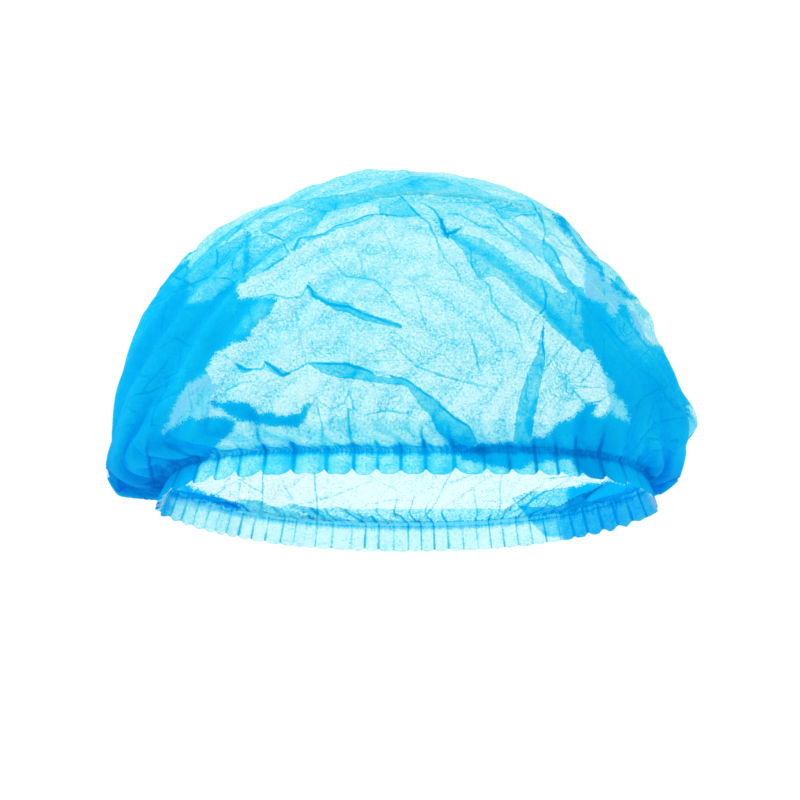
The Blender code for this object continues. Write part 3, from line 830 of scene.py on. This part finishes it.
# The dark lines of the pleats are narrower at the back, and fade out up the crown.
PLEAT_LINE_WIDTH = 0.0026
PLEAT_DARK = 0.95
PLEAT_REACH_FRONT = 0.016
PLEAT_REACH_BACK = 0.020
SEAM_FRONT = 0.20
SEAM_BACK = 0.45
gap_here = ring_gap / ring_gap[elastic_row]
pleat_away = pleat_turn * pitch * gap_here
pleat_away = pleat_away * np.where(is_front, 1.0, 1.7)
pleat_reach = np.where(is_front, PLEAT_REACH_FRONT, PLEAT_REACH_BACK)
pleat_reach = pleat_reach * np.clip(1 + 0.35 * drift(0, 8, (1, COLUMNS)), 0.5, 2.0)
pleat_fade = within((pleat_reach - distance[:, None]) / 0.008)
pleat_line = PLEAT_DARK * pleat_fade * np.exp(-((pleat_away / PLEAT_LINE_WIDTH) ** 2))
pleat_line *= np.clip(1 + 0.3 * drift(4, 3), 0.3, 1.6)
layers += DEEP_CLOUD_LAYERS * drift(8, 10) * within(-fold_deep / 0.003)


def placed(name, data):
    """A new object of the scene that shows this mesh, lamp or camera."""
    made = bpy.data.objects.new(name, data)
    bpy.context.scene.collection.objects.link(made)
    return made


def sheet_piece(name, grid, fields, closed_end):
    """A grid of cloth as a mesh, with its fields as values on the points."""
    rows, columns = grid.shape[:2]
    index = np.arange(rows * columns).reshape(rows, columns)
    if closed_end:
        last = np.arange(columns)
        index[-1] = np.minimum(last, (-last) % columns) + (rows - 1) * columns
    a, b = index[:-1], np.roll(index[:-1], -1, axis=1)
    d, c = index[1:], np.roll(index[1:], -1, axis=1)
    corners = np.stack([a, b, c, d], axis=-1).reshape(-1, 4)
    faces = [list(dict.fromkeys(face)) for face in corners.tolist()]
    faces = [face for face in faces if len(face) > 2]
    used = np.unique(np.concatenate([np.array(face) for face in faces]))
    renumber = np.zeros(rows * columns, dtype=int)
    renumber[used] = np.arange(len(used))
    mesh = bpy.data.meshes.new(name)
    mesh.from_pydata(grid.reshape(-1, 3)[used].tolist(), [], [[int(renumber[v]) for v in f] for f in faces])
    for field_name, values in fields.items():
        attribute = mesh.attributes.new(field_name, "FLOAT", "POINT")
        attribute.data.foreach_set("value", values.reshape(-1)[used].astype(np.float32))
    mesh.shade_smooth()
    return placed(name, mesh)


circle = (share + slipped * np.exp(-((distance / 0.012) ** 2))[:, None] / COLUMNS) * 2 * math.pi
place_out = ring_gap[elastic_row].sum() / (2 * math.pi)
crown_fields = dict(
    layers=layers,
    fold_mid=fold_mid * 1000,
    fold_deep=fold_deep * 1000,
    crease_away=crease_away * 1000,
    crease_line=crease_line,
    pleat_away=pleat_away * 1000,
    pleat_line=pleat_line,
    seam_line=np.tile(np.where(is_front, SEAM_FRONT, SEAM_BACK), (ROWS, 1)),
    casing_x=place_out * np.cos(circle) * 1000,
    casing_y=place_out * np.sin(circle) * 1000,
    from_elastic=np.tile(distance[:, None] * 1000, (1, COLUMNS)),
)
crown = sheet_piece("crown_cloth", cloth, crown_fields, True)


def fed(tree, node, into):
    """The node, with a number, a colour or a link in each of its named sockets."""
    for socket_name, given in into.items():
        if isinstance(given, bpy.types.NodeSocket):
            tree.links.new(given, node.inputs[socket_name])
        else:
            node.inputs[socket_name].default_value = given
    return node


def new_node(tree, kind, into=None, **settings):
    node = tree.nodes.new(kind)
    for key, value in settings.items():
        setattr(node, key, value)
    return fed(tree, node, into or {})


def new_finish(name):
    material = bpy.data.materials.new(name)
    material.use_nodes = True
    return material, material.node_tree


# The grains are in cells for each metre, that of the gathers for each millimetre round the casing.
# The shades go from one bare layer to many.
FIBRE_GRAIN = 1080.0
CLOUD_GRAIN = 230.0
RAGGED_GRAIN = 420.0
GATHER_GRAIN = 0.95
MID_LAYERS = 0.46
DEEP_LAYERS = 0.72
DEEPEST = 1.3
# The cloth and the elastic emit their own colour at this strength: painted light that lifts their shade,
# though they are no lamps.
PAINTED_GLOW = 0.25
LIT_THROUGH = 0.42
SHADES = (
    (0.00, (0.76, 0.95, 0.94)),
    (0.22, (0.41, 0.89, 0.91)),
    (0.45, (0.09, 0.75, 0.89)),
    (0.65, (0.004, 0.61, 0.93)),
    (0.80, (0.000, 0.48, 0.87)),
    (1.00, (0.000, 0.27, 0.67)),
)


def spunbond(name):
    """Spunbond cloth: pale where one layer shows, azure where many lie together, with fine fibres."""
    material, tree = new_finish(name)
    tree.nodes.clear()

    def value_of(field_name):
        return new_node(tree, "ShaderNodeAttribute", attribute_name=field_name).outputs["Fac"]

    def sum_up(operation, *given):
        return new_node(tree, "ShaderNodeMath", dict(enumerate(given)), operation=operation).outputs[0]

    def size_of(given):
        return sum_up("ABSOLUTE", given, 0.0)

    def fade(given, start, end, low, high):
        into = {"Value": given, "From Min": start, "From Max": end, "To Min": low, "To Max": high}
        return new_node(tree, "ShaderNodeMapRange", into, interpolation_type="SMOOTHSTEP").outputs["Result"]

    def noise(vector, scale, detail):
        into = {"Vector": vector, "Scale": scale, "Detail": detail}
        return new_node(tree, "ShaderNodeTexNoise", into).outputs["Fac"]

    where = new_node(tree, "ShaderNodeTexCoord").outputs["Object"]
    fibre = noise(where, FIBRE_GRAIN, 2.0)
    cloud = noise(where, CLOUD_GRAIN, 3.0)
    ragged = sum_up("MULTIPLY_ADD", noise(where, RAGGED_GRAIN, 2.0), 1.6, -0.8)

    stretched = (("casing_x", 1), ("casing_y", 1), ("from_elastic", 0.12))
    bands = {axis: sum_up("MULTIPLY", value_of(field), by) for axis, (field, by) in enumerate(stretched)}
    gathers = noise(new_node(tree, "ShaderNodeCombineXYZ", bands).outputs[0], GATHER_GRAIN, 1.0)

    mid_edge = sum_up("ADD", value_of("fold_mid"), ragged)
    speckle = sum_up("MULTIPLY_ADD", fibre, 7.0, -3.5)
    deep_edge = sum_up("ADD", sum_up("MULTIPLY_ADD", ragged, 2.0, value_of("fold_deep")), speckle)
    mid = fade(mid_edge, -0.25, 0.25, 1.0, 0.0)
    deep = fade(deep_edge, -0.9, 0.5, 1.0, 0.0)
    mid_rim = fade(size_of(mid_edge), 0.0, 0.55, 1.0, 0.0)

    def thin_line(away_name, line_name, half_width):
        away = size_of(sum_up("ADD", value_of(away_name), sum_up("MULTIPLY", ragged, 0.25)))
        return sum_up("MULTIPLY", fade(away, 0.0, half_width, 1.0, 0.0), value_of(line_name))

    crease = thin_line("crease_away", "crease_line", 0.80)
    pleat = thin_line("pleat_away", "pleat_line", 1.25)
    from_elastic = size_of(value_of("from_elastic"))
    seam = fade(size_of(sum_up("SUBTRACT", from_elastic, 2.1)), 0.1, 0.8, 1.0, 0.0)
    seam = sum_up("MULTIPLY", seam, value_of("seam_line"))
    in_casing = fade(from_elastic, 2.6, 5.2, 1.0, 0.0)
    gathered = sum_up("MULTIPLY", in_casing, fade(gathers, 0.42, 0.60, 0.0, 0.32))

    folded = sum_up("MAXIMUM", sum_up("MULTIPLY", mid, MID_LAYERS), sum_up("MULTIPLY", deep, DEEP_LAYERS))
    total = sum_up("ADD", value_of("layers"), folded)
    for part, much in ((mid_rim, 0.10), (crease, 0.90), (pleat, 0.62), (seam, 1.0)):
        total = sum_up("MULTIPLY_ADD", part, much, total)
    total = sum_up("ADD", total, gathered)
    grain = sum_up("MULTIPLY", sum_up("SUBTRACT", fibre, 0.5), fade(total, 0.28, 0.80, 1.75, 0.40))
    total = sum_up("ADD", total, grain)
    total = sum_up("MULTIPLY_ADD", sum_up("SUBTRACT", cloud, 0.5), 0.40, total)
    depth = sum_up("DIVIDE", total, DEEPEST)
    depth = sum_up("MINIMUM", depth, sum_up("MULTIPLY_ADD", depth, 0.40, 0.42))

    tint = new_node(tree, "ShaderNodeValToRGB", {0: depth})
    stops = tint.color_ramp.elements
    while len(stops) < len(SHADES):
        stops.new(0.5)
    for stop, (at, shade) in zip(stops, SHADES):
        stop.position = at
        stop.color = (*shade, 1.0)
    colour = tint.outputs["Color"]

    height = sum_up("MULTIPLY_ADD", fibre, 0.45, sum_up("MULTIPLY", mid, 0.5))
    for part, much in ((deep, 0.4), (crease, -0.9), (pleat, -0.8)):
        height = sum_up("MULTIPLY_ADD", part, much, height)
    height = sum_up("ADD", height, gathered)
    relief_into = {"Strength": 0.55, "Distance": 0.0006, "Height": height}
    normal = new_node(tree, "ShaderNodeBump", relief_into).outputs[0]

    # The emission of the cloth is painted light that lifts its shaded parts.
    solid = new_node(tree, "ShaderNodeBsdfPrincipled", {
        "Base Color": colour,
        "Roughness": 0.62,
        "Specular IOR Level": 0.03,
        "Emission Color": colour,
        "Emission Strength": PAINTED_GLOW,
        "Normal": normal,
    }).outputs[0]
    lit = new_node(tree, "ShaderNodeBsdfTranslucent", {"Color": colour, "Normal": normal}).outputs[0]
    clear = new_node(tree, "ShaderNodeBsdfTransparent", {"Color": (0.93, 1.0, 1.0, 1.0)}).outputs[0]
    body = new_node(tree, "ShaderNodeMixShader", {0: LIT_THROUGH, 1: solid, 2: lit}).outputs[0]
    seen_through = fade(depth, 0.0, 0.62, 0.58, 0.0)
    whole = new_node(tree, "ShaderNodeMixShader", {0: seen_through, 1: body, 2: clear}).outputs[0]
    new_node(tree, "ShaderNodeOutputMaterial", {"Surface": whole})
    return material


cloth_finish = spunbond("spunbond_blue")
crown.data.materials.append(cloth_finish)
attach(crown, "root")
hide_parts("crown")

# The turned-in hem is the outer ring of the same sheet, folded to the inside over the elastic and
# welded down behind it. It lies just inside the crown and makes the casing two layers thick.
HEM_TURN = 0.018
HEM_INSIDE = 0.0010
HEM_LAYERS = 0.34
hem_rows = int(np.searchsorted(distance, HEM_TURN)) + 1
hem_cloth = cloth[:hem_rows].copy()
hem_depth = HEM_INSIDE * within(np.arange(hem_rows) / 2)
hem_cloth -= outward(cloth)[:hem_rows] * hem_depth[:, None, None]
hem_cloth[..., 2] = np.maximum(hem_cloth[..., 2], OVER_FLOOR + hem_depth[:, None] * 0.7)
hem_fields = {field_name: values[:hem_rows].copy() for field_name, values in crown_fields.items()}
hem_fields["layers"] = (HEM_LAYERS - 0.18 * is_front) * within(distance[:hem_rows, None] / 0.003)
hem_fields["fold_mid"][:, front] = SPREAD_CAP * 1000
hem_fields["fold_deep"][:, front] = SPREAD_CAP * 1000
hem_fields["pleat_line"] *= 0.9
hem = sheet_piece("turned_in_hem", hem_cloth, hem_fields, False)
hem.data.materials.append(cloth_finish)
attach(hem, "root")

# The elastic is a narrow flat ribbon with fine ribs along it, closed to a ring inside the casing.
# It is stretched while the casing is welded, and pulls the cloth into small gathers when let go.
ELASTIC_WIDTH = 0.0046
ELASTIC_THICKNESS = 0.0004
ELASTIC_INSIDE = 0.0003
RIB_GRAIN = 420.0
band_places = np.linspace(-ELASTIC_WIDTH / 2, ELASTIC_WIDTH / 2, 7)
cloth_normal = outward(cloth)


def ribbon_ring(d, inside):
    """The ring of the cloth at a distance from the elastic's middle, that far inside it."""
    row = float(np.interp(d, distance, np.arange(ROWS)))
    first = int(row)
    t = row - first
    face = (1 - t) * cloth[first] + t * cloth[first + 1]
    normal = unit((1 - t) * cloth_normal[first] + t * cloth_normal[first + 1])
    ring = face - normal * inside
    ring[:, 2] = np.maximum(ring[:, 2], OVER_FLOOR + 0.5 * inside)
    return ring


outer_side = [ribbon_ring(d, ELASTIC_INSIDE) for d in band_places]
inner_side = [ribbon_ring(d, ELASTIC_INSIDE + ELASTIC_THICKNESS) for d in band_places[::-1]]
ribbon_rings = np.array(outer_side + inner_side + outer_side[:1])
ribbon_mesh = bpy.data.meshes.new("elastic_ribbon")
rings_round = len(ribbon_rings) - 1
ribbon_faces = []
for ring in range(rings_round):
    beyond = (ring + 1) % rings_round
    for column in range(COLUMNS):
        beside = (column + 1) % COLUMNS
        near_pair = (ring * COLUMNS + column, ring * COLUMNS + beside)
        far_pair = (beyond * COLUMNS + beside, beyond * COLUMNS + column)
        ribbon_faces.append(near_pair + far_pair)
ribbon_mesh.from_pydata(ribbon_rings[:-1].reshape(-1, 3).tolist(), [], ribbon_faces)
ribbon_mesh.shade_smooth()
elastic = placed("elastic_ribbon", ribbon_mesh)


def woven_elastic(name):
    """Covered rubber threads side by side, pale blue, with fine crosswise ribs."""
    material, tree = new_finish(name)
    where = new_node(tree, "ShaderNodeTexCoord").outputs["Object"]
    rib_into = {"Vector": where, "Scale": RIB_GRAIN, "Distortion": 1.5}
    ribs = new_node(tree, "ShaderNodeTexWave", rib_into, bands_direction="X").outputs["Fac"]
    tint = new_node(tree, "ShaderNodeValToRGB", {0: ribs})
    tint.color_ramp.elements[0].color = (0.04, 0.66, 0.88, 1.0)
    tint.color_ramp.elements[1].color = (0.22, 0.82, 0.94, 1.0)
    bump = new_node(tree, "ShaderNodeBump", {"Strength": 0.5, "Distance": 0.0002, "Height": ribs})
    # The emission of the elastic is painted light that lifts it out of the shade inside the casing.
    fed(tree, tree.nodes["Principled BSDF"], {
        "Base Color": tint.outputs["Color"],
        "Roughness": 0.7,
        "Emission Color": tint.outputs["Color"],
        "Emission Strength": PAINTED_GLOW,
        "Normal": bump.outputs[0],
    })
    return material


ribbon_mesh.materials.append(woven_elastic("covered_elastic"))
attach(elastic, "root")
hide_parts("elastic_band")

# The floor is a plain white table, wide enough to fill every view.
FLOOR_REACH = 6.0
FLOOR_DROP = 0.0005
floor_mesh = bpy.data.meshes.new("white_table")
floor_corners = [(x * FLOOR_REACH, y * FLOOR_REACH, 0.0) for x, y in ((-1, -1), (1, -1), (1, 1), (-1, 1))]
floor_mesh.from_pydata(floor_corners, [], [(0, 1, 2, 3)])
floor = placed("white_table", floor_mesh)
floor.location.z = -FLOOR_DROP
floor_finish, floor_tree = new_finish("white_table")
fed(floor_tree, floor_tree.nodes["Principled BSDF"], {
    "Base Color": (0.10, 0.10, 0.10, 1.0),
    "Roughness": 0.9,
    "Specular IOR Level": 0.1,
    "Emission Color": (1.0, 1.0, 1.0, 1.0),
    "Emission Strength": 0.98,
})
floor_mesh.materials.append(floor_finish)

# The light is a wide soft sky and one large lamp above and behind on the left.
studio = bpy.data.worlds.new("studio")
bpy.context.scene.world = studio
studio.use_nodes = True
sky = studio.node_tree.nodes["Background"]
fed(studio.node_tree, sky, {"Color": (1.0, 1.0, 1.0, 1.0), "Strength": 0.58})
lamp = bpy.data.lights.new("large_lamp", "AREA")
lamp.energy = 4.5
lamp.size = 0.7
lamp_stand = placed("large_lamp", lamp)
lamp_stand.location = (-0.65, 0.45, 1.0)
lamp_stand.rotation_euler = (Vector((0, 0, 0)) - lamp_stand.location).to_track_quat("-Z", "Y").to_euler()

# The camera stands in front and looks down on the cap from far off through a long lens.
LENS = 200.0
SENSOR = 36.0
FRAME = 800
CAP_DEPTH = 0.045
eye = bpy.data.cameras.new("camera")
eye.lens = LENS
eye.sensor_width = SENSOR
camera = placed("camera", eye)
eye_distance = FRAME * PIXEL * LENS / SENSOR
frame_middle_up = seen_foot + (FOOT_ROW - FRAME / 2) * PIXEL
frame_up = (frame_middle_up * math.sin(VIEW_TILT), frame_middle_up * math.cos(VIEW_TILT))
towards_eye = Vector(to_eye)
aim = Vector(((FRAME / 2 - MIDDLE_COLUMN) * PIXEL, *frame_up)) + towards_eye * CAP_DEPTH
camera.location = aim + towards_eye * eye_distance
camera.rotation_euler = (math.pi / 2 - VIEW_TILT, 0.0, 0.0)
bpy.context.scene.camera = camera
bpy.context.scene.view_settings.view_transform = "Standard"
